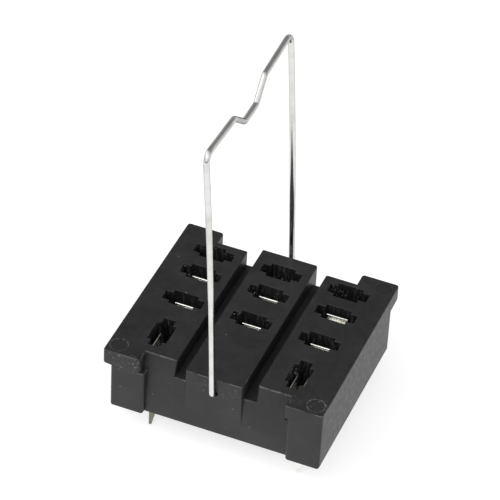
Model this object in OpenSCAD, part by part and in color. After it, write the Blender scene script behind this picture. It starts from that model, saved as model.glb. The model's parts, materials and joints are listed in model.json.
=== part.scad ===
// Printed-board relay socket, eleven blade contacts in three columns, with a wire retaining bail.
// Millimetres. X runs left to right along the front, Y from front to back, Z up.
// The origin is on the seating plane of the underside, midway across the top flange both ways.

/* [Contact chambers] */
// Distance between neighbouring columns of chambers
column_pitch = 12; // [11.6:0.1:12.6]
// Back row to the second row
row_step_second = 5.75; // [5.2:0.05:6.4]
// Second row to the third row
row_step_third = 7.3; // [6.6:0.1:8.2]
// Third row to the middle of the two coil chambers
row_step_coil = 8.85; // [8.2:0.05:9.8]
// Length of a chamber over its two end lobes
chamber_len = 6.9; // [6.4:0.05:7.3]
// Width of the end lobes
lobe_w = 2; // [1.8:0.05:2.3]
// Length of the wide middle part of a chamber
chamber_mid_len = 4.35; // [3.9:0.05:4.8]
// Width of the wide middle part of a chamber
chamber_mid_w = 3.4; // [3.2:0.05:3.7]

/* [Body] */
// Wall between a chamber and the groove beside it
land_wall = 1.5; // [1.3:0.05:1.7]
// Side of the flange to the end of the nearest chamber
side_margin = 3.55; // [3.2:0.05:4]
// Front of the corner blocks to the front end of the coil chambers
front_margin = 4.25; // [3.8:0.05:4.8]
// Back of the corner tabs to the back row of chambers
back_margin = 3.7; // [3.4:0.05:4.2]
// Height from the seating plane to the top face
body_h = 11.5; // [10.2:0.1:13]
// Thickness of the top flange, which is also the depth of the grooves and of the front ledge
flange_t = 2.9; // [2.6:0.05:3.1]
// How far the flange lip stands out past the left side
lip_left = 1.35; // [1.1:0.05:1.6]
// Thickness of the floor under the contact chambers
floor_t = 1.6; // [1.4:0.1:2]
// Radius of the upright corners
corner_r = 0.5; // [0.3:0.05:0.8]
// Radius along the bottom corners seen from the front
foot_r = 0.45; // [0.3:0.05:0.8]

/* [Front and back] */
// Width of the corner blocks and tabs seen from above
corner_w = 6.5; // [5.9:0.1:7.2]
// Width of the left block below the ledge
left_block_w = 5.9; // [5.3:0.05:6.6]
// Width of the right block below the ledge
right_block_w = 5.95; // [5.3:0.05:6.6]
// Front of the corner blocks back to the front face between them
face_in = 0.9; // [0.8:0.05:1]
// Front of the corner blocks back to the front faces of the side lands
land_front_in = 2.5; // [2.2:0.05:2.8]
// Back of the corner tabs in to the back faces of the side lands
land_back_in = 2.65; // [2.3:0.05:2.9]
// Back of the corner tabs in to the middle land and its pillar
pillar_in = 1.1; // [1:0.05:1.2]
// How far the back corner tabs stand out over the lower body
tab_out = 3.2; // [2.8:0.1:3.4]

/* [Ejector marks] */
// Radius of the marks near the corners
ejector_r = 1.42; // [1.2:0.02:1.6]
// Depth of the marks
ejector_depth = 0.1; // [0.05:0.01:0.2]
// Side of the flange to the middle of a mark
ejector_in_x = 1.95; // [1.8:0.05:2.3]
// Front or back of the flange to the middle of a mark
ejector_in_y = 2.1; // [1.9:0.05:2.4]

/* [Contacts] */
// Thickness of the contact strip
strip_t = 0.35; // [0.3:0.01:0.4]
// Play between a leaf's edges and the ends of the chamber's middle part
leaf_edge_play = 0.325; // [0.25:0.025:0.4]
// Top face of the body down to the tips of the leaves
leaf_below = 2.2; // [1.9:0.1:2.6]
// Extra length of the leaves in the right column's second chamber
long_leaf_extra = 0.6; // [0.4:0.1:0.8]
// Half gap between the leaves at the middle of their flared tips
tip_half_gap = 0.7; // [0.6:0.05:0.8]
// Half gap between the leaves where they pinch the blade
pinch_half_gap = 0.42; // [0.36:0.02:0.48]
// Play between the heel of a leaf and the wall behind it
heel_play = 0.225; // [0.15:0.025:0.3]
// Play between the contact base and the walls of its chamber, on each side
base_play = 0.1; // [0.05:0.01:0.15]

/* [Tails] */
// Length of the tails below the seating plane
tail_len = 4.1; // [3:0.1:5]
// Width of a tail where it leaves the body
tail_w = 0.95; // [0.7:0.05:1.2]
// Width of a tail at its tip
tail_tip_w = 0.4; // [0.3:0.05:0.6]
// Length of the tapered end of a tail
tail_taper = 2.3; // [1:0.1:2.9]
// Thickness of a tail
tail_t = 0.4; // [0.3:0.05:0.5]
// Play between a tail and its slit, on each side
slit_play = 0.1; // [0.05:0.01:0.2]
// Left coil chamber to its tail, towards the right
crank_left_x = 0.85; // [0.7:0.05:1]
// Left coil chamber to its tail, towards the front
crank_left_y = 5.2; // [4.6:0.1:5.6]
// Right coil chamber to its tail, towards the right
crank_right_x = 3; // [2.6:0.1:3.4]
// Right coil chamber to its tail, towards the front
crank_right_y = 5.7; // [5.1:0.1:6.2]
// Roof left over the channels in the underside that hold the cranked tails
channel_roof = 0.7; // [0.6:0.05:0.8]

/* [Bail] */
// Diameter of the bail wire
wire_d = 1; // [0.9:0.05:1.1]
// Radial play of the wire in its pivot holes
pivot_play = 0.05; // [0.03:0.01:0.1]
// Top face of the body down to the pivot line
pivot_below = 3.2; // [3:0.1:4]
// Room between the end of a hook and the bottom of its hole
hook_end_play = 0.4; // [0.3:0.05:0.6]
// Gap between the front leg of the bail and the front face
leg_gap = 0.1; // [0.08:0.02:0.3]
// How far the hooked ends reach into the front and back faces
hook_reach = 1.6; // [1.3:0.05:1.65]
// Pivot line up to the middle of the wire along the crest
bail_h = 48.4; // [40:0.1:55]
// How far the bail leans to the left as it stands
bail_lean = 3.2; // [0:0.1:5]
// Radius of the bends at the two upper corners
corner_bend_r = 1.8; // [1.2:0.1:3]
// Radius of the bends at the two hooked ends
hook_bend_r = 0.9; // [0.7:0.05:1]
// Half length of the floor of the dip in the crest
dip_half_floor = 2.35; // [1.5:0.05:3]
// Depth of the dip in the crest
dip_depth = 3.85; // [2:0.05:5]
// Slope of the two sides of the dip
dip_angle = 45; // [35:1:60]
// Radius of the bends of the dip
dip_bend_r = 1; // [0.7:0.1:1.5]

/* [Hidden] */
$fn = 48;
eps = 0.01;
half_w = column_pitch + chamber_len / 2 + side_margin;
half_d = (front_margin + chamber_len / 2 + row_step_coil + row_step_third + row_step_second
    + chamber_mid_w / 2 + back_margin) / 2;
row_back_y = half_d - back_margin - chamber_mid_w / 2;
row_second_y = row_back_y - row_step_second;
row_third_y = row_second_y - row_step_third;
row_coil_y = row_third_y - row_step_coil;
left_x = half_w - lip_left;
recess_half_w = half_w - corner_w;
front_face_y = half_d - face_in;
land_front_y = half_d - land_front_in;
land_back_y = half_d - land_back_in;
pillar_back_y = half_d - pillar_in;
lower_back_y = half_d - tab_out;
ledge_z = body_h - flange_t;
front_block_len = corner_w - corner_r;
groove_in = chamber_len / 2 + land_wall;
groove_w = column_pitch - chamber_len - 2 * land_wall;
pivot_z = body_h - pivot_below;
leg_y = front_face_y + leg_gap + wire_d / 2;
hook_end_y = front_face_y - hook_reach;
hole_end_y = hook_end_y - hook_end_play;
hole_d = wire_d + 2 * pivot_play;
stem_slit_l = tail_w + 2 * slit_play;
stem_slit_w = tail_t + 2 * slit_play;
channel_w = tail_w + 4 * slit_play;
channel_depth = floor_t - channel_roof;
arm_z = (channel_depth - tail_t) / 2;
leaf_w = chamber_mid_len - 2 * leaf_edge_play;
heel_half_gap = chamber_mid_w / 2 - heel_play - strip_t / 2;
leaf_tip_z = body_h - leaf_below - floor_t;
wire_sides = 16;
bend_step = 15;

plastic = [0.16, 0.16, 0.17];
tinned = [0.78, 0.76, 0.7];
spring_wire = [0.74, 0.73, 0.7];

// A rectangle from one corner to the other with all four corners rounded
module round_rect(x0, y0, x1, y1, r) {
    translate([x0 + r, y0]) square([x1 - x0 - 2 * r, y1 - y0]);
    translate([x0, y0 + r]) square([x1 - x0, y1 - y0 - 2 * r]);
    for (x = [x0 + r, x1 - r], y = [y0 + r, y1 - r]) translate([x, y]) circle(r);
}

// The outline of one chamber: a wide middle with a narrower lobe at each end
module chamber_outline() {
    square([chamber_len, lobe_w], center = true);
    square([chamber_mid_len, chamber_mid_w], center = true);
}

// Calls its children at the nine chambers that lie across the socket
module at_cross_chambers() {
    for (c = [-1, 0, 1], y = [row_back_y, row_second_y, row_third_y])
        translate([c * column_pitch, y, 0]) children();
}

// Calls its children at the two coil chambers, turned to run front to back
module at_coil_chambers() {
    for (c = [-1, 1]) translate([c * column_pitch, row_coil_y, 0]) rotate(90) children();
}

// ---- moulded body ----

// Outline of the top flange with its recesses at the front and the back
module flange_outline() {
    round_rect(-half_w, -half_d, -recess_half_w, half_d, corner_r);
    round_rect(recess_half_w, -half_d, half_w, half_d, corner_r);
    translate([-recess_half_w - 1, -land_front_y])
        square([2 * recess_half_w + 2, land_front_y + land_back_y]);
    translate([-groove_in, -front_face_y])
        square([2 * groove_in, front_face_y + pillar_back_y]);
}

// Outline of the lower body without the front blocks
module lower_outline() {
    round_rect(-left_x, -front_face_y, half_w, lower_back_y, corner_r);
    translate([-recess_half_w, 0]) square([2 * recess_half_w, land_back_y]);
    translate([-groove_in, 0]) square([2 * groove_in, pillar_back_y]);
}

// A solid running front to back whose two bottom corners are rounded
module round_foot(x0, x1, y0, y1) {
    translate([0, y1, 0]) rotate([90, 0, 0]) linear_extrude(y1 - y0) {
        translate([x0, foot_r]) square([x1 - x0, ledge_z - foot_r]);
        translate([x0 + foot_r, 0]) square([x1 - x0 - 2 * foot_r, 2 * foot_r]);
        for (x = [x0 + foot_r, x1 - foot_r]) translate([x, foot_r]) circle(foot_r);
    }
}

// One front block below the ledge
module front_block(x0, x1) {
    intersection() {
        linear_extrude(ledge_z) round_rect(x0, -half_d, x1, -half_d + front_block_len, corner_r);
        round_foot(x0, x1, -half_d, -half_d + front_block_len);
    }
}

// The solid of the body before anything is cut out of it
module body_solid() {
    intersection() {
        linear_extrude(ledge_z) lower_outline();
        round_foot(-left_x, half_w, -half_d, half_d);
    }
    front_block(-left_x, -left_x + left_block_w);
    front_block(half_w - right_block_w, half_w);
    translate([0, 0, ledge_z]) linear_extrude(flange_t) flange_outline();
}

// The two grooves between the three lands, open at both ends
module grooves() {
    for (s = [-1, 1]) translate([s * (groove_in + groove_w / 2), 0, ledge_z + flange_t])
        cube([groove_w, 2 * half_d, 2 * flange_t], center = true);
}

// Slit in the floor for a tail that goes straight down
module stem_slit() {
    translate([-stem_slit_l / 2, -stem_slit_w / 2, -eps])
        cube([stem_slit_l, stem_slit_w, floor_t + 2 * eps]);
}

// Channel in the underside from a coil chamber forward to its tail
module crank_channel(column, crank) {
    translate([column * column_pitch, row_coil_y, -eps]) rotate(atan2(crank[1], crank[0]))
        translate([-channel_w / 2, -channel_w / 2, 0])
            cube([norm(crank) + channel_w, channel_w, channel_depth + eps]);
}

// Round hole for a hooked end of the bail, with a wider mouth, running along +Y
module pivot_hole(depth) {
    rotate([-90, 0, 0]) {
        translate([0, 0, -eps]) cylinder(d = hole_d, h = depth + eps);
        translate([0, 0, -eps]) cylinder(d1 = wire_d + 0.8, d2 = hole_d, h = 0.4);
    }
}

module body() {
    color(plastic) difference() {
        body_solid();
        grooves();
        translate([0, 0, floor_t]) at_cross_chambers() linear_extrude(body_h) chamber_outline();
        translate([0, 0, floor_t]) at_coil_chambers() linear_extrude(body_h) chamber_outline();
        at_cross_chambers() stem_slit();
        at_coil_chambers() rotate(-90) stem_slit();
        crank_channel(-1, [crank_left_x, -crank_left_y]);
        crank_channel(1, [crank_right_x, -crank_right_y]);
        translate([0, -front_face_y, pivot_z]) pivot_hole(front_face_y - hole_end_y);
        translate([0, pillar_back_y, pivot_z]) rotate(180) pivot_hole(pillar_back_y - hole_end_y);
        for (x = [-1, 1], y = [-1, 1])
            translate([x * (half_w - ejector_in_x), y * (half_d - ejector_in_y), body_h - ejector_depth])
                cylinder(r = ejector_r, h = 1);
    }
}

// ---- contacts ----

// A strip of even thickness along a line of points, with rounded joints
module strip_along(points, t) {
    for (i = [0 : len(points) - 1]) translate(points[i]) circle(d = t);
    for (i = [0 : len(points) - 2]) {
        step = points[i + 1] - points[i];
        translate(points[i]) rotate(atan2(step[1], step[0]))
            translate([0, -t / 2]) square([norm(step), t]);
    }
}

// Base and two facing leaves of a receptacle, standing on the chamber floor, slot along X
module receptacle(extra = 0) {
    tip = leaf_tip_z + extra - strip_t / 2;
    side = [
        [0, strip_t / 2],
        [heel_half_gap - 0.15, strip_t / 2],
        [heel_half_gap, 1],
        [heel_half_gap, 3],
        [pinch_half_gap, tip - 1.5],
        [tip_half_gap, tip]
    ];
    translate([-leaf_w / 2, 0, 0]) rotate([90, 0, 90]) linear_extrude(leaf_w) {
        strip_along(side, strip_t);
        mirror([1, 0, 0]) strip_along(side, strip_t);
    }
    translate([-chamber_len / 2 + base_play, -lobe_w / 2 + base_play, 0])
        cube([chamber_len - 2 * base_play, lobe_w - 2 * base_play, strip_t]);
}

// Tail blade facing the front, tapered along its right edge
module tail(top_z) {
    translate([-tail_w / 2, tail_t / 2, 0]) rotate([90, 0, 0]) linear_extrude(tail_t)
        polygon([
            [0, -tail_len], [tail_tip_w, -tail_len],
            [tail_w, -tail_len + tail_taper], [tail_w, top_z], [0, top_z]
        ]);
}

// Contact whose tail goes straight down under its chamber
module straight_contact(column, row_y, extra = 0) {
    color(tinned) translate([column * column_pitch, row_y, 0]) {
        translate([0, 0, floor_t]) receptacle(extra);
        tail(floor_t + strip_t / 2);
    }
}

// Coil contact whose tail is cranked forward along the underside
module coil_contact(column, crank) {
    color(tinned) translate([column * column_pitch, row_coil_y, 0]) {
        translate([0, 0, floor_t]) rotate(90) receptacle();
        translate([-tail_w / 2, -tail_t / 2, arm_z])
            cube([tail_w, tail_t, floor_t + strip_t / 2 - arm_z]);
        translate([0, 0, arm_z]) rotate(atan2(crank[1], crank[0]))
            translate([-tail_t / 2, -tail_w / 2, 0]) cube([norm(crank) + tail_t / 2, tail_w, tail_t]);
        translate([crank[0], crank[1], 0]) tail(arm_z + tail_t);
    }
}

module contact_nc_left() { straight_contact(-1, row_back_y); }

module contact_nc_middle() { straight_contact(0, row_back_y); }

module contact_nc_right() { straight_contact(1, row_back_y); }

module contact_no_left() { straight_contact(-1, row_second_y); }

module contact_no_middle() { straight_contact(0, row_second_y); }

module contact_no_right() { straight_contact(1, row_second_y, long_leaf_extra); }

module contact_com_left() { straight_contact(-1, row_third_y); }

module contact_com_middle() { straight_contact(0, row_third_y); }

module contact_com_right() { straight_contact(1, row_third_y); }

module contact_coil_left() { coil_contact(-1, [crank_left_x, -crank_left_y]); }

module contact_coil_right() { coil_contact(1, [crank_right_x, -crank_right_y]); }

// ---- retaining bail ----

// Samples of a bend, each a place and a heading in the plane of the bail, from a place and a heading
function bend(place, heading, angle, r) =
    let(
        n = ceil(abs(angle) / bend_step),
        side = sign(angle) * r,
        centre = place + side * [-sin(heading), cos(heading)]
    )
    [for (k = [0 : n]) let(h = heading + (n == 0 ? 0 : angle * k / n))
        [centre - side * [-sin(h), cos(h)], h]];

// Samples along the wire, from steps that are each a straight length, then a bend's angle and radius
function wire_samples(steps, place, heading, i = 0) =
    let(
        corner = place + steps[i][0] * [cos(heading), sin(heading)],
        turned = bend(corner, heading, steps[i][1], steps[i][2]),
        last = turned[len(turned) - 1]
    )
    i == len(steps) - 1 ? turned : concat(turned, wire_samples(steps, last[0], last[1], i + 1));

// The round wire swept along the samples, as one closed skin of rings
module swept_wire(samples) {
    rings = len(samples);
    points = [for (s = samples, k = [0 : wire_sides - 1]) let(
        a = 360 * k / wire_sides,
        out = wire_d / 2 * sin(a)
    ) [wire_d / 2 * cos(a), s[0][0] - out * sin(s[1]), s[0][1] + out * cos(s[1])]];
    skin = [for (j = [0 : rings - 2], k = [0 : wire_sides - 1]) let(
        p = j * wire_sides + k,
        q = j * wire_sides + (k + 1) % wire_sides
    ) each [[p, q, q + wire_sides], [p, q + wire_sides, p + wire_sides]]];
    last = (rings - 1) * wire_sides;
    caps = [for (k = [1 : wire_sides - 2]) each [[0, k + 1, k], [last, last + k, last + k + 1]]];
    polyhedron(points, concat(skin, caps));
}

// Bent from one hooked end to the other in its own plane, with the pivot line at the origin
module retaining_bail() {
    trim = dip_bend_r * tan(dip_angle / 2);
    hook = leg_y - hook_bend_r - hook_end_y;
    leg = bail_h - hook_bend_r - corner_bend_r;
    crest = leg_y - corner_bend_r - dip_half_floor - dip_depth / tan(dip_angle) - trim;
    slope = dip_depth / sin(dip_angle) - 2 * trim;
    dip_floor = 2 * (dip_half_floor - trim);
    steps = [
        [hook, -90, hook_bend_r], [leg, -90, corner_bend_r], [crest, -dip_angle, dip_bend_r],
        [slope, dip_angle, dip_bend_r], [dip_floor, dip_angle, dip_bend_r],
        [slope, -dip_angle, dip_bend_r], [crest, -90, corner_bend_r], [leg, -90, hook_bend_r],
        [hook, 0, 0]
    ];
    color(spring_wire) translate([0, 0, pivot_z]) rotate([0, -bail_lean, 0])
        swept_wire(concat([[[-hook_end_y, 0], 180]], wire_samples(steps, [-hook_end_y, 0], 180)));
}

body();
contact_nc_left();
contact_nc_middle();
contact_nc_right();
contact_no_left();
contact_no_middle();
contact_no_right();
contact_com_left();
contact_com_middle();
contact_com_right();
contact_coil_left();
contact_coil_right();
retaining_bail();
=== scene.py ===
import json
from math import cos, pi, radians, sin

import bmesh
import bpy
import numpy as np
from mathutils import Matrix, Vector


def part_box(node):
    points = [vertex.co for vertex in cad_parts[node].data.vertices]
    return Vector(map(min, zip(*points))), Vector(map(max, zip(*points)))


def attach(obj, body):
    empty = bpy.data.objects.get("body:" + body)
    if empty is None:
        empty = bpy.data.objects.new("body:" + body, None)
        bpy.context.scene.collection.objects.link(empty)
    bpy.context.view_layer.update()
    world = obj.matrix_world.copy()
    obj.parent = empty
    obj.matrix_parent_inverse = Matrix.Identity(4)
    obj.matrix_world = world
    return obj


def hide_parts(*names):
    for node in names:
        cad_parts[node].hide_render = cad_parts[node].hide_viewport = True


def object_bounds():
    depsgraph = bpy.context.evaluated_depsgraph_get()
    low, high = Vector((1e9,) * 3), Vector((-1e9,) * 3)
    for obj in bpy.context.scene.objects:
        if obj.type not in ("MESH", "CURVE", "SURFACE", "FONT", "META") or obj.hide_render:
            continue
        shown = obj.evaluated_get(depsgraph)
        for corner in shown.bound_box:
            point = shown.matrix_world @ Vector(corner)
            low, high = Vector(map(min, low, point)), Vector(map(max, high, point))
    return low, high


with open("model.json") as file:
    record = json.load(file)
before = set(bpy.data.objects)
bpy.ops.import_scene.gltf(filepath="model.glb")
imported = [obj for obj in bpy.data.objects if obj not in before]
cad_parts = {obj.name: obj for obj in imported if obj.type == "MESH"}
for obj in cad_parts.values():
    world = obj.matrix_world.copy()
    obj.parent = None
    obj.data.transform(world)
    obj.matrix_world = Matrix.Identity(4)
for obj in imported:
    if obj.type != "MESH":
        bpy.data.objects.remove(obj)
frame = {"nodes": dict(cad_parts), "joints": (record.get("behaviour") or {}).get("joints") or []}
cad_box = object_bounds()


# ---- Camera ----
# A long lens looks down on the socket from the front right, slightly rolled, and takes in the
# whole bail above it.
MM = 0.001
view_azimuth, view_elevation, view_roll = radians(20.31), radians(40.39), radians(3.14)
view_distance = 498.7 * MM
aim_right, aim_up = -0.555 * MM, 10.87 * MM

body_low, body_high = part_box("body")
top_z = body_high[2]

forward = Vector((-sin(view_azimuth) * cos(view_elevation), cos(view_azimuth) * cos(view_elevation),
                  -sin(view_elevation)))
level_right = Vector((cos(view_azimuth), sin(view_azimuth), 0))
level_up = level_right.cross(forward)
lens_right = cos(view_roll) * level_right + sin(view_roll) * level_up
lens_up = cos(view_roll) * level_up - sin(view_roll) * level_right
aim = Vector((0, 0, top_z)) + lens_right * aim_right + lens_up * aim_up

camera = bpy.data.objects.new("camera", bpy.data.cameras.new("camera"))
camera.data.lens, camera.data.sensor_width = 220.03, 36
camera.data.clip_start, camera.data.clip_end = 0.05, 20
camera.matrix_world = (Matrix.Translation(aim - forward * view_distance)
                       @ Matrix((lens_right, lens_up, -forward)).transposed().to_4x4())
bpy.context.scene.collection.objects.link(camera)
bpy.context.scene.camera = camera


# ---- Studio ----
# A white sweep lit so evenly that it shows no shadow, under a dim ceiling with soft boxes above.
# The floor lies at the tips of the solder tails.
class Value:
    """One number, colour or vector in a shader. Arithmetic on numbers adds Math nodes."""

    def __init__(self, finish, socket):
        self.finish, self.socket = finish, socket

    def maths(self, operation, first, second=0.0):
        inputs = {0: first, 1: second}
        return self.finish.node("ShaderNodeMath", {"operation": operation}, inputs)["Value"]

    def __add__(self, other):
        return self.maths("ADD", self, other)

    def __sub__(self, other):
        return self.maths("SUBTRACT", self, other)

    def __rsub__(self, other):
        return self.maths("SUBTRACT", other, self)

    def __mul__(self, other):
        return self.maths("MULTIPLY", self, other)

    def __truediv__(self, other):
        return self.maths("DIVIDE", self, other)

    def __gt__(self, other):
        return self.maths("GREATER_THAN", self, other)

    def __lt__(self, other):
        return self.maths("LESS_THAN", self, other)

    def __abs__(self):
        return self.maths("ABSOLUTE", self)

    __radd__, __rmul__ = __add__, __mul__


class Finish:
    """A node tree under construction."""

    def __init__(self, owner):
        owner.use_nodes = True
        self.owner, self.tree = owner, owner.node_tree

    def node(self, kind, settings=None, inputs=None):
        """Adds a node, sets its settings first, then its sockets, and returns its outputs."""
        made = self.tree.nodes.new(kind)
        for name, value in (settings or {}).items():
            setattr(made, name, value)
        self.feed(made, inputs or {})
        return {socket.name: Value(self, socket) for socket in made.outputs if socket.enabled}

    def feed(self, made, inputs):
        """Sets or links sockets, which are named, or numbered where two share a name."""
        named = {socket.name: socket for socket in made.inputs if socket.enabled}
        for key, value in inputs.items():
            socket = made.inputs[key] if isinstance(key, int) else named[key]
            if isinstance(value, Value):
                self.tree.links.new(value.socket, socket)
            else:
                socket.default_value = value


def grey(level):
    """An opaque neutral colour."""
    return (level, level, level, 1.0)


def eased(finish, value, low, high):
    """0 to 1 as a value goes from low to high, with a smooth start and end."""
    return finish.node("ShaderNodeMapRange", {"interpolation_type": "SMOOTHSTEP"}, {
        "Value": value, "From Min": low, "From Max": high})["Result"]


def blend_colours(finish, mask, under, over):
    """One colour where the mask is 0, and the other where it is 1."""
    return finish.node("ShaderNodeMix", {"data_type": "RGBA"},
                       {"Factor": mask, "A": under, "B": over})["Result"]


def placed(name, data):
    """A new object in the scene, at the origin."""
    item = bpy.data.objects.new(name, data)
    bpy.context.scene.collection.objects.link(item)
    return item


floor_reach = 3.0
floor_z = cad_box[0][2]
floor_mesh = bpy.data.meshes.new("floor")
floor_mesh.from_pydata([(-floor_reach, -floor_reach, floor_z), (floor_reach, -floor_reach, floor_z),
                        (floor_reach, floor_reach, floor_z), (-floor_reach, floor_reach, floor_z)],
                       [], [(0, 1, 2, 3)])
floor = placed("floor", floor_mesh)
floor_finish = Finish(bpy.data.materials.new("white_sweep"))
floor_finish.feed(floor_finish.tree.nodes["Principled BSDF"], {
    "Base Color": grey(0.5), "Roughness": 1.0, "Specular IOR Level": 0.0,
    "Emission Color": grey(1.0), "Emission Strength": 0.7})
floor_mesh.materials.append(floor_finish.owner)

world = bpy.data.worlds.new("studio")
bpy.context.scene.world = world
sky = Finish(world)
direction = sky.node("ShaderNodeTexCoord")["Generated"]
compass = sky.node("ShaderNodeSeparateXYZ", inputs={"Vector": direction})
# The room is bright in front, dim overhead at the back, and has a dark band at the horizon,
# which bright metal shows as thin dark edges. The camera itself sees plain white.
behind = eased(sky, compass["Y"], -0.25, 0.45)
overhead = eased(sky, compass["Z"], 0.1, 0.5)
ceiling = blend_colours(sky, behind * overhead, grey(1.05), grey(0.27))
skirting = eased(sky, abs(compass["Z"] - 0.05), 0.11, 0.07)
ceiling = blend_colours(sky, skirting, ceiling, grey(0.08))
seen = sky.node("ShaderNodeLightPath")["Is Camera Ray"]
backdrop = blend_colours(sky, seen, ceiling, grey(1.0))
sky.feed(sky.tree.nodes["Background"], {"Color": backdrop, "Strength": 1.0})

table_middle = Vector((0, 0, 0.01))
for name, spot, size, power in (("front_softbox", (-0.15, -0.6, 0.75), 0.45, 1.2),
                                ("left_softbox", (-0.7, 0.0, 0.6), 0.5, 0.8)):
    lamp = bpy.data.lights.new(name, "AREA")
    lamp.shape, lamp.size, lamp.energy = "SQUARE", size, power
    softbox = placed(name, lamp)
    softbox.location, softbox.visible_camera = spot, False
    facing = table_middle - Vector(spot)
    softbox.rotation_euler = facing.to_track_quat("-Z", "Y").to_euler()

bpy.context.scene.view_settings.view_transform = "Standard"
bpy.context.scene.view_settings.look = "None"


# ---- Moulded housing ----
# One injection moulding in black glass-filled polyester: eleven contact chambers in three lands,
# two grooves, and a lip all round. Every outer edge has the small radius that the mould leaves.
merge_gap, flat_angle, sharp_angle = 1e-6, radians(0.5), radians(30)
corner_r, corner_segments = 0.5 * MM, 4
edge_weight_top, front_corner_weight, rim_weight, mark_weight = 0.42, 0.6, 0.17, 0.09
column_pitch = 12 * MM
chamber_half, chamber_reach_y = 3.5 * MM, 14.4 * MM
underside_h = 2 * MM
foot_low_z, foot_high_z, upright_h = 0.6 * MM, 4 * MM, 1 * MM
rim_depth, mark_depth, pivot_hole_reach = 0.02 * MM, 0.15 * MM, 0.7 * MM
pivot_z = next(joint["pos_m"][2] for joint in frame["joints"] if joint["name"] == "bail_pivot")
mark_x, mark_y, mark_reach = body_high[0] - 1.95 * MM, body_high[1] - 2.1 * MM, 1.75 * MM

# The panels between the middle land and the front blocks lean: each land's front comes forward
# to the groove floor, and the panel below it runs on to the plane of the front face.
front_y = body_low[1] + 0.9 * MM
land_front_y, panel_top_y = front_y + 1.6 * MM, front_y + 0.7 * MM
groove_floor_z, panel_foot_z = top_z - 2.9 * MM, top_z - 8.3 * MM
panel_spans = ((-11.75 * MM, -4.95 * MM), (4.95 * MM, 12.5 * MM))
land_spans = ((-12.5 * MM, -7.05 * MM), (7.05 * MM, 12.5 * MM))
clear, bite, toe_clear = 0.5 * MM, 0.4 * MM, 0.05 * MM

panel_cut = [(front_y, panel_foot_z), (panel_top_y, groove_floor_z),
             (panel_top_y, groove_floor_z + clear), (front_y - clear, groove_floor_z + clear),
             (front_y - clear, panel_foot_z)]
land_toe = [(land_front_y + bite, top_z), (land_front_y, top_z), (panel_top_y, groove_floor_z),
            (panel_top_y + toe_clear, groove_floor_z - bite),
            (land_front_y + bite, groove_floor_z - bite)]


def prisms(name, outline, spans):
    """Closed prisms, one for each span in X: the (y, z) outline at both ends of the span, joined
    by one quad along each side of the outline."""
    n = len(outline)
    yz = np.array(outline)
    rings = np.array([[np.column_stack([np.full(n, x), yz]) for x in span] for span in spans])
    i = np.arange(n)
    sides = np.column_stack([i, (i + 1) % n, (i + 1) % n + n, i + n])
    faces = [(quad + 2 * n * k).tolist() for k in range(len(spans)) for quad in sides]
    faces += [(i[::-1] + 2 * n * k).tolist() for k in range(len(spans))]
    faces += [(i + n + 2 * n * k).tolist() for k in range(len(spans))]
    mesh = bpy.data.meshes.new(name)
    mesh.from_pydata(rings.reshape(-1, 3).tolist(), [], faces)
    made = bmesh.new()
    made.from_mesh(mesh)
    bmesh.ops.recalc_face_normals(made, faces=made.faces)
    made.to_mesh(mesh)
    made.free()
    return placed(name, mesh)


def evaluated_mesh(solid):
    """The mesh of an object with its modifiers applied."""
    return bpy.data.meshes.new_from_object(
        solid.evaluated_get(bpy.context.evaluated_depsgraph_get()))


housing_mesh = bpy.data.meshes.new("housing")
shell = bmesh.new()
shell.from_mesh(frame["nodes"]["body"].data)
bmesh.ops.remove_doubles(shell, verts=shell.verts, dist=merge_gap)
bmesh.ops.recalc_face_normals(shell, faces=shell.faces)
shell.to_mesh(housing_mesh)
shell.free()
moulding = placed("moulding", housing_mesh)
for operation, tool in (("DIFFERENCE", prisms("panel_cut", panel_cut, panel_spans)),
                        ("UNION", prisms("land_toe", land_toe, land_spans))):
    shaping = moulding.modifiers.new(operation, "BOOLEAN")
    shaping.operation, shaping.solver, shaping.object = operation, "EXACT", tool
housing_mesh = evaluated_mesh(moulding)
for scrap in ("moulding", "panel_cut", "land_toe"):
    bpy.data.objects.remove(bpy.data.objects[scrap])

shell = bmesh.new()
shell.from_mesh(housing_mesh)
bmesh.ops.remove_doubles(shell, verts=shell.verts, dist=merge_gap)
bmesh.ops.dissolve_limit(shell, angle_limit=flat_angle, verts=shell.verts, edges=shell.edges)
bmesh.ops.recalc_face_normals(shell, faces=shell.faces)
weights = shell.edges.layers.float.new("bevel_weight_edge")


def edge_weight(edge):
    """The share of the corner radius that an edge gets, from where its middle lies."""
    if not edge.is_manifold or edge.calc_face_angle(0) < sharp_angle or not edge.is_convex:
        return 0.0
    a, b = edge.verts[0].co, edge.verts[1].co
    x, y, z = (a + b) / 2
    from_column = abs(x - column_pitch * round(x / column_pitch))
    if from_column < chamber_half and abs(y) < chamber_reach_y:
        return rim_weight if z > top_z - rim_depth else 0.0
    if min(a.z, b.z) < foot_low_z and max(a.z, b.z) < foot_high_z:
        return 0.0
    from_mark = max(abs(abs(x) - mark_x), abs(abs(y) - mark_y))
    if from_mark < mark_reach and z > top_z - mark_depth:
        return mark_weight
    from_pivot = max(abs(x), abs(z - pivot_z))
    if from_pivot < pivot_hole_reach and abs(y) > chamber_reach_y:
        return 0.0
    if abs(a.z - b.z) > upright_h:
        return 1.0 if y > 0 else front_corner_weight
    return edge_weight_top


for edge in shell.edges:
    edge[weights] = edge_weight(edge)
shell.to_mesh(housing_mesh)
shell.free()
sharp_housing = placed("sharp_housing", housing_mesh)
softened = sharp_housing.modifiers.new("mould_radius", "BEVEL")
softened.limit_method, softened.width, softened.segments = "WEIGHT", corner_r, corner_segments
softened.use_clamp_overlap, softened.offset_type = False, "OFFSET"
softened_mesh = evaluated_mesh(sharp_housing)
bpy.data.objects.remove(sharp_housing)
softened_mesh.shade_smooth()
housing = placed("housing", softened_mesh)


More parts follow.
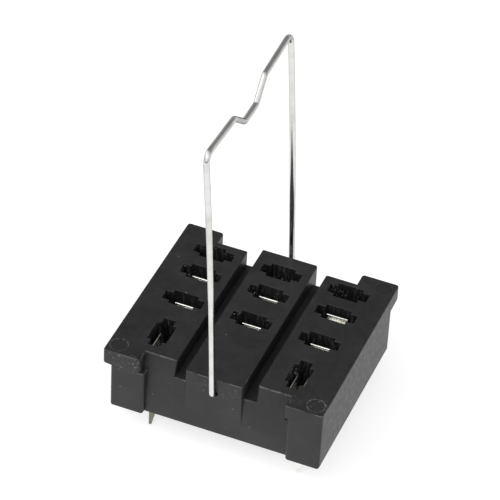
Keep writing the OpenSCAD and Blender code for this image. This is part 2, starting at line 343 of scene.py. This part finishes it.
def settle_normals(mesh, blend_angle):
    """Corner normals that leave flat faces flat and let the small faces between them blend:
    normal = the area-weighted sum of the normals at that vertex within an angle of the corner's
    own face, scaled to length one."""
    corner_vertex, face_size = np.empty(len(mesh.loops), int), np.empty(len(mesh.polygons), int)
    area, normal = np.empty(len(mesh.polygons)), np.empty(3 * len(mesh.polygons))
    mesh.loops.foreach_get("vertex_index", corner_vertex)
    mesh.polygons.foreach_get("loop_total", face_size)
    mesh.polygons.foreach_get("area", area)
    mesh.polygons.foreach_get("normal", normal)
    normal = normal.reshape(-1, 3)
    face = np.repeat(np.arange(len(face_size)), face_size)
    order = np.argsort(corner_vertex, kind="stable")
    sorted_vertex, sorted_face = corner_vertex[order], face[order]
    total = np.zeros((len(order), 3))
    place, most = np.arange(len(order)), np.bincount(corner_vertex).max()
    for shift in range(1 - most, most):
        other = np.clip(place + shift, 0, len(order) - 1)
        counted = (other == place + shift) & (sorted_vertex[other] == sorted_vertex)
        counted &= (normal[sorted_face] * normal[sorted_face[other]]).sum(1) > cos(blend_angle)
        weight = np.where(counted, area[sorted_face[other]], 0.0)
        total += weight[:, None] * normal[sorted_face[other]]
    settled = np.empty_like(total)
    length = np.linalg.norm(total, axis=1, keepdims=True)
    settled[order] = total / np.maximum(length, np.finfo(float).tiny)
    mesh.normals_split_custom_set(settled.tolist())


settle_normals(softened_mesh, radians(40))

# The rounded top edges get a painted highlight in their colour, so the faces that are neither flat
# nor upright are marked.
least_up, most_up = 0.33, 0.97
facing_up = np.empty(3 * len(softened_mesh.polygons))
softened_mesh.polygons.foreach_get("normal", facing_up)
facing_up = facing_up.reshape(-1, 3)[:, 2]
softened_mesh.attributes.new("edge_highlight", "FLOAT", "FACE").data.foreach_set(
    "value", ((facing_up > least_up) & (facing_up < most_up)).astype(np.float32))

# A face is a chamber wall when none of its corners lies outside a chamber.
corner = np.empty(3 * len(softened_mesh.vertices))
softened_mesh.vertices.foreach_get("co", corner)
corner = np.abs(corner.reshape(-1, 3))
from_column = np.minimum(corner[:, 0], np.abs(corner[:, 0] - column_pitch))
outside = (from_column > chamber_half) | (corner[:, 1] > chamber_reach_y)
used = np.empty(len(softened_mesh.loops), np.int32)
softened_mesh.loops.foreach_get("vertex_index", used)
first = np.empty(len(softened_mesh.polygons), np.int32)
softened_mesh.polygons.foreach_get("loop_start", first)
softened_mesh.attributes.new("chamber_wall", "FLOAT", "FACE").data.foreach_set(
    "value", 1.0 - np.maximum.reduceat(outside[used].astype(np.float32), first))


def patch(finish, place, centre, reach, soft):
    """A mask that is 1 within reach of a point and falls to 0 over a soft margin."""
    apart = finish.node("ShaderNodeVectorMath", {"operation": "DISTANCE"},
                        {0: place, 1: centre})["Value"]
    return finish.node("ShaderNodeMapRange", {"interpolation_type": "SMOOTHSTEP"}, {
        "Value": apart, "From Min": reach, "From Max": reach + soft, "To Min": 1.0,
        "To Max": 0.0})["Result"]


def noise(finish, place, scale, detail=2.0, roughness=0.5):
    """Cloudy noise about 0.5, with scale blotches to the metre."""
    return finish.node("ShaderNodeTexNoise", inputs={
        "Vector": place, "Scale": scale, "Detail": detail, "Roughness": roughness})["Fac"]


def between(finish, value, low, high):
    """Stretches the part of a value between low and high to 0 to 1, and clips the rest."""
    return finish.node("ShaderNodeMapRange", inputs={
        "Value": value, "From Min": low, "From Max": high})["Result"]


def specks(finish, place, scale, size, share, clusters):
    """Small soft dots: one in each chosen Voronoi cell, thinned out where clusters is low."""
    cells = finish.node("ShaderNodeTexVoronoi", {"feature": "F1"}, {
        "Vector": place, "Scale": scale, "Randomness": 1.0})
    lot = finish.node("ShaderNodeSeparateColor", inputs={"Color": cells["Color"]})
    return between(finish, cells["Distance"], size, size * 0.5) * (lot["Red"] < share * clusters)


# Ejector pins leave faint discs between the chambers, and a ring shows in each corner, sharpest
# at the front: a mould mark with a painted highlight on its rim. Each mark is its place on the top
# face, then its reach or strength.
pin_marks = [((0.0, -6 * MM), 1.3 * MM), ((0.0, 2.4 * MM), 1 * MM),
             ((-column_pitch, 2.4 * MM), 1 * MM)]
corner_rings_and_highlights = [((mark_x, -mark_y), 1.0), ((-mark_x, -mark_y), 0.6), ((mark_x, mark_y), 0.2),
                ((-mark_x, mark_y), 0.2)]
mark_r, line_half, line_soft = 1.42 * MM, 0.14 * MM, 0.12 * MM
front_highlight_y, chamber_rim = land_front_y + 0.5 * MM, 0.16 * MM

plastic = Finish(bpy.data.materials.new("black_moulding"))
place = plastic.node("ShaderNodeTexCoord")["Object"]
cloud = noise(plastic, place, 160, 3.0, 0.55)
mottle = noise(plastic, place, 900, 4.0, 0.65)
grain = noise(plastic, place, 4200, 3.0, 0.6)
tone = blend_colours(plastic, between(plastic, cloud * 0.6 + mottle * 0.4, 0.36, 0.66),
                     (0.012, 0.012, 0.0132, 1), (0.0255, 0.0255, 0.0275, 1))

# Inside a chamber the walls keep upright drag marks, and their colour is painted near black as
# shade, since little light comes back out.
where = plastic.node("ShaderNodeSeparateXYZ", inputs={"Vector": place})
walled = plastic.node("ShaderNodeAttribute", {"attribute_name": "chamber_wall"})["Fac"]
in_chamber = walled * (where["Z"] < top_z - chamber_rim) * (where["Z"] > underside_h)
drags = noise(plastic, plastic.node("ShaderNodeMapping", inputs={
    "Vector": place, "Scale": (3600.0, 3600.0, 420.0)})["Vector"], 1.0, 3.0, 0.7)
tone = blend_colours(plastic, in_chamber, tone, blend_colours(
    plastic, between(plastic, drags, 0.52, 0.72), grey(0.003), grey(0.07)))

discs = 0.0
for (x, y), reach in pin_marks:
    discs = discs + patch(plastic, place, (x, y, top_z), reach - 0.15 * MM, 0.2 * MM)
rings = 0.0
for (x, y), strength in corner_rings_and_highlights:
    inside = patch(plastic, place, (x, y, top_z), mark_r - line_half, line_soft)
    outside = patch(plastic, place, (x, y, top_z), mark_r + 0.1 * MM, line_half)
    rings = rings + (outside - inside) * strength
    discs = discs + inside
ragged = between(plastic, noise(plastic, place, 2600, 3.0, 0.7), 0.42, 0.62)
# Painted highlight: the corner rings are lightened in colour where light catches their rims, most
# at the front.
marked = blend_colours(plastic, rings * ragged * 0.8, blend_colours(
    plastic, discs * 0.55, tone, (0.0135, 0.0135, 0.0145, 1)), grey(0.16))

# Painted highlight: the rounded edges are lightened in colour, most of all along the front of the
# lands.
edge_highlight_mask = plastic.node("ShaderNodeAttribute", {"attribute_name": "edge_highlight"})["Fac"]
painted_edge_highlight = edge_highlight_mask * between(plastic, noise(plastic, place, 700, 3.0, 0.6), 0.38, 0.6)
marked = blend_colours(plastic, painted_edge_highlight * (where["Y"] < front_highlight_y) * 0.8 + painted_edge_highlight * 0.2, marked,
                       grey(0.1))

# Lint gathers in drifts inside the chambers and along the front edges of the lands.
front_edge = (where["Y"] < land_front_y + bite) * (where["Z"] > groove_floor_z - clear)
drifts = between(plastic, noise(plastic, place, 190, 2.0, 0.5), 0.5, 0.66)
lint_area = (in_chamber + front_edge * 0.25) * drifts
stray = between(plastic, noise(plastic, place, 210, 2.0, 0.5), 0.5, 0.7)
dust = specks(plastic, place, 1700.0, 0.28, 0.06, stray)
lint = between(plastic, noise(plastic, place, 2300, 2.0, 0.5), 0.6, 0.66) * lint_area
scuffs = between(plastic, noise(plastic, plastic.node("ShaderNodeMapping", inputs={
    "Vector": place, "Rotation": (0.0, 0.0, 0.6), "Scale": (350.0, 2600.0, 900.0)})["Vector"],
    1.0, 2.0, 0.5), 0.7, 0.78) * stray
coated = blend_colours(plastic, scuffs * 0.25, marked, grey(0.12))
coated = blend_colours(plastic, dust * 0.3, coated, (0.42, 0.42, 0.4, 1))
coated = blend_colours(plastic, lint * between(plastic, mottle, 0.3, 0.65) * 0.9, coated,
                       (0.72, 0.71, 0.68, 1))
relief = grain * 0.4 + mottle * 0.6
plastic.feed(plastic.tree.nodes["Principled BSDF"], {
    "Base Color": coated,
    "Roughness": between(plastic, mottle, 0.3, 0.7) * 0.16 + 0.36 + discs * 0.1 + lint * 0.3
                 + in_chamber * 0.25,
    "IOR": 1.42,
    "Normal": plastic.node("ShaderNodeBump", inputs={
        "Strength": 0.5, "Distance": 0.03 * MM, "Height": relief})["Normal"]})
softened_mesh.materials.clear()
softened_mesh.materials.append(plastic.owner)
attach(housing, "socket")
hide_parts("body")


# ---- Blade contacts ----
# Two spring leaves and a solder tail blanked from tinned bronze strip and pressed into each
# chamber from below. The leaves of the back row sit lower, and the others flare at their tips.
tinned = Finish(bpy.data.materials.new("tinned_bronze"))
place = tinned.node("ShaderNodeTexCoord")["Object"]
dull = noise(tinned, place, 500, 3.0, 0.6)
fine = noise(tinned, place, 3000, 2.0, 0.5)
tin = blend_colours(tinned, between(tinned, dull, 0.4, 0.7), (0.9, 0.89, 0.86, 1),
                    (0.7, 0.69, 0.64, 1))
# Painted shade: the left solder tail is darkened to olive grey in its colour, standing in for the
# dark underside that it reflects.
left_low, left_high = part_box("contact_coil_left")
left_tail = ((left_low[0] + left_high[0]) / 2, left_low[1], left_low[2])
left_tail_painted_shade = patch(tinned, place, left_tail, 3.3 * MM, 1.2 * MM)
tinned.feed(tinned.tree.nodes["Principled BSDF"], {
    "Base Color": blend_colours(tinned, left_tail_painted_shade * 0.9, tin, (0.13, 0.13, 0.1, 1)),
    "Metallic": 1.0,
    "Roughness": between(tinned, dull, 0.2, 0.9) * 0.2 + 0.16 + left_tail_painted_shade * 0.15,
    "Normal": tinned.node("ShaderNodeBump", inputs={
        "Strength": 0.05, "Distance": 0.01 * MM, "Height": fine})["Normal"]})

rolled_r, rolled_segments = 0.12 * MM, 3
leaf_root_z, flare_h = 4 * MM, 1 * MM
flare_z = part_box("contact_com_middle")[1][2] - flare_h
flare_out, flare_up, back_row_drop = 0.25 * MM, 0.25 * MM, 1 * MM
for name in sorted(frame["nodes"]):
    if not name.startswith("contact_"):
        continue
    strip = bmesh.new()
    strip.from_mesh(frame["nodes"][name].data)
    bmesh.ops.remove_doubles(strip, verts=strip.verts, dist=merge_gap)
    bmesh.ops.dissolve_limit(strip, angle_limit=flat_angle, verts=strip.verts,
                             edges=strip.edges)
    bmesh.ops.recalc_face_normals(strip, faces=strip.faces)
    strip_mesh = bpy.data.meshes.new("sheared_" + name)
    strip.to_mesh(strip_mesh)
    strip.free()
    sheared = placed("sheared_" + name, strip_mesh)
    rolled = sheared.modifiers.new("rolled_edge", "BEVEL")
    rolled.limit_method, rolled.angle_limit = "ANGLE", radians(40)
    rolled.width, rolled.segments = rolled_r, rolled_segments
    rolled_mesh = evaluated_mesh(sheared)
    bpy.data.objects.remove(sheared)
    corner = np.empty(3 * len(rolled_mesh.vertices))
    rolled_mesh.vertices.foreach_get("co", corner)
    corner = corner.reshape(-1, 3)
    across = 0 if "coil" in name else 1
    leaves = corner[corner[:, 2] > leaf_root_z, across]
    aside = corner[:, across] - (leaves.min() + leaves.max()) / 2
    flare = np.clip((corner[:, 2] - flare_z) / flare_h, 0, 1)
    if "_nc_" in name:
        rise = (corner[:, 2] - leaf_root_z) / (flare_z - leaf_root_z)
        corner[:, 2] -= back_row_drop * np.clip(rise, 0, 1)
    else:
        corner[:, across] += np.sign(aside) * flare * flare_out
        corner[:, 2] += flare * flare_up
    rolled_mesh.vertices.foreach_set("co", corner.ravel())
    rolled_mesh.update()
    rolled_mesh.shade_smooth()
    settle_normals(rolled_mesh, radians(35))
    rolled_mesh.materials.clear()
    rolled_mesh.materials.append(tinned.owner)
    blade = placed(name.replace("contact", "blade"), rolled_mesh)
    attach(blade, "socket")
    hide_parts(name)


# ---- Retaining bail ----
# A single length of bright spring wire bent into a hoop with a dip in its crest. Its two hooked
# ends turn in blind holes in the front and back faces.
wire_r = 0.5 * MM
hook_run, hook_bend_r, corner_bend_r = 1.3 * MM, 0.9 * MM, 1.8 * MM
dip_half_floor, dip_depth, dip_angle, dip_bend_r = 2.35 * MM, 3.85 * MM, radians(45), 1 * MM
bail_lean, crest_sag, leg_bow = radians(3.2), 1 * MM, 0.25 * MM
bail_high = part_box("retaining_bail")[1]
leg_y = bail_high[1] - wire_r
crest_h = (bail_high[2] - pivot_z - wire_r) / cos(bail_lean)
wire_sides, bend_steps, leg_steps = 32, 14, 24


def bent_wire(start, heading, steps):
    """Centres and headings of a wire bent in one plane. Each step is a straight run, then an arc
    about a point one bend radius to the side that it turns to: centre = corner + s R side(h),
    point = centre - s R side(h - s t), with t from 0 to the bend and s the sense of the turn."""
    centres, headings = [np.array([start])], [np.array([heading])]
    point, angle = np.array(start, float), heading
    for run, bend, radius in steps:
        point = point + run * np.array([np.cos(angle), np.sin(angle)])
        if not bend:
            centres.append(point[None])
            headings.append(np.array([angle]))
            continue
        sense, turned = np.sign(bend), np.linspace(0, abs(bend), bend_steps + 1)
        along = angle - sense * turned
        side = np.stack([np.sin(along), -np.cos(along)], 1)
        arc = point + sense * radius * (side[0] - side)
        centres.append(arc), headings.append(along)
        point, angle = arc[-1], along[-1]
    return np.concatenate(centres), np.concatenate(headings)


def tube_mesh(name, centres, across, radius, sides):
    """A round tube on a plane path: point = centre + r (cos a across + sin a x), with a all the
    way round. Both ends are closed on a small chamfer. UV is round and along the wire."""
    reach = np.concatenate([[0.0], np.cumsum(np.linalg.norm(np.diff(centres, axis=0), axis=1))])
    chamfer = 0.2 * radius
    radii = np.full(len(centres), radius)
    radii[[0, -1]] -= chamfer
    centres = np.insert(centres, [1, len(centres) - 1],
                        [centres[0] + chamfer * (centres[1] - centres[0])
                         / np.linalg.norm(centres[1] - centres[0]),
                         centres[-1] - chamfer * (centres[-1] - centres[-2])
                         / np.linalg.norm(centres[-1] - centres[-2])], axis=0)
    across = np.insert(across, [1, len(across) - 1], [across[0], across[-1]], axis=0)
    radii = np.insert(radii, [1, len(radii) - 1], radius)
    reach = np.insert(reach, [1, len(reach) - 1], [chamfer, reach[-1] - chamfer])
    a = np.linspace(0, 2 * pi, sides, endpoint=False)
    ring = (np.cos(a)[None, :, None] * across[:, None, :]
            + np.sin(a)[None, :, None] * np.array([1.0, 0.0, 0.0]))
    points = (centres[:, None, :] + radii[:, None, None] * ring).reshape(-1, 3)
    rows, n = len(centres), sides
    i, j = np.meshgrid(np.arange(rows - 1), np.arange(n), indexing="ij")
    k = (j + 1) % n
    quads = np.stack([i * n + j, (i + 1) * n + j, (i + 1) * n + k, i * n + k], -1).reshape(-1, 4)
    mesh = bpy.data.meshes.new(name)
    mesh.from_pydata(points.tolist(), [], quads.tolist()
                     + [list(range(n)), list(range((rows - 1) * n, rows * n))[::-1]])
    around = np.stack([j, j, j + 1, j + 1], -1).reshape(-1) / n
    along = np.stack([reach[i], reach[i + 1], reach[i + 1], reach[i]], -1).reshape(-1)
    uv = np.zeros((len(mesh.loops), 2))
    uv[:len(around)] = np.stack([around * 2 * pi * radius, along], 1)
    mesh.uv_layers.new(name="wire").data.foreach_set("uv", uv.ravel())
    return mesh


def sagged(flat):
    """The hoop pulled down in its middle: height - sag x (1 - |y| / half width) x share, where
    share goes from 0 at the floor of the dip to 1 at the crest and stays 0 below the floor."""
    share = np.clip((flat[:, 1] - crest_h + dip_depth) / dip_depth, 0, 1)
    drop = crest_sag * (1 - np.abs(flat[:, 0]) / leg_y) * share
    return np.stack([flat[:, 0], flat[:, 1] - drop], 1)


dip_setback = dip_bend_r * np.tan(dip_angle / 2)
slope_run = dip_depth / sin(dip_angle) - 2 * dip_setback
crest_run = leg_y - corner_bend_r - dip_half_floor - dip_depth / np.tan(dip_angle) - dip_setback
leg_run = crest_h - corner_bend_r - hook_bend_r
quarter = radians(90)
leg_rows = [(leg_run / leg_steps, 0, 0)] * (leg_steps - 1)
hoop = [(hook_run, quarter, hook_bend_r), *leg_rows,
             (leg_run / leg_steps, quarter, corner_bend_r),
             (crest_run, dip_angle, dip_bend_r), (slope_run, -dip_angle, dip_bend_r),
             (2 * (dip_half_floor - dip_setback), -dip_angle, dip_bend_r),
             (slope_run, dip_angle, dip_bend_r), (crest_run, quarter, corner_bend_r), *leg_rows,
             (leg_run / leg_steps, quarter, hook_bend_r), (hook_run, 0, 0)]
flat = sagged(bent_wire((-leg_y + hook_bend_r + hook_run, 0.0), pi, hoop)[0])
leaned = np.array([-sin(bail_lean), cos(bail_lean)])
bow = leg_bow * np.sin(pi * np.clip(flat[:, 1] / crest_h, 0, 1))
path = np.stack([flat[:, 1] * leaned[0] + bow, flat[:, 0], pivot_z + flat[:, 1] * leaned[1]], 1)
ahead = np.gradient(flat, axis=0)
ahead /= np.linalg.norm(ahead, axis=1, keepdims=True)
side_y, side_z = ahead[:, 1], -ahead[:, 0]
across = np.stack([side_z * leaned[0], side_y, side_z * leaned[1]], 1)
bail_mesh = tube_mesh("bail", path, across, wire_r, wire_sides)
round_bail = bmesh.new()
round_bail.from_mesh(bail_mesh)
bmesh.ops.recalc_face_normals(round_bail, faces=round_bail.faces)
for face in round_bail.faces:
    face.smooth = len(face.verts) == 4
round_bail.to_mesh(bail_mesh)
round_bail.free()
bail = placed("bright_bail", bail_mesh)

bright = Finish(bpy.data.materials.new("bright_spring_wire"))
drawn = bright.node("ShaderNodeMapping", inputs={
    "Vector": bright.node("ShaderNodeUVMap", {"uv_map": "wire"})["UV"],
    "Scale": (9000.0, 260.0, 1.0)})["Vector"]
streaks = noise(bright, drawn, 1.0, 3.0, 0.6)
handled = noise(bright, bright.node("ShaderNodeTexCoord")["Object"], 420, 3.0, 0.6)
bright.feed(bright.tree.nodes["Principled BSDF"], {
    "Base Color": blend_colours(bright, between(bright, handled, 0.4, 0.75),
                                (0.74, 0.735, 0.72, 1), (0.6, 0.59, 0.565, 1)),
    "Metallic": 1.0, "Specular Tint": grey(0.35),
    "Roughness": between(bright, streaks, 0.0, 1.0) * 0.12 + 0.1,
    "Normal": bright.node("ShaderNodeBump", inputs={
        "Strength": 0.12, "Distance": 0.01 * MM, "Height": streaks})["Normal"]})
bail_mesh.materials.append(bright.owner)
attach(bail, "bail")
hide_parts("retaining_bail")
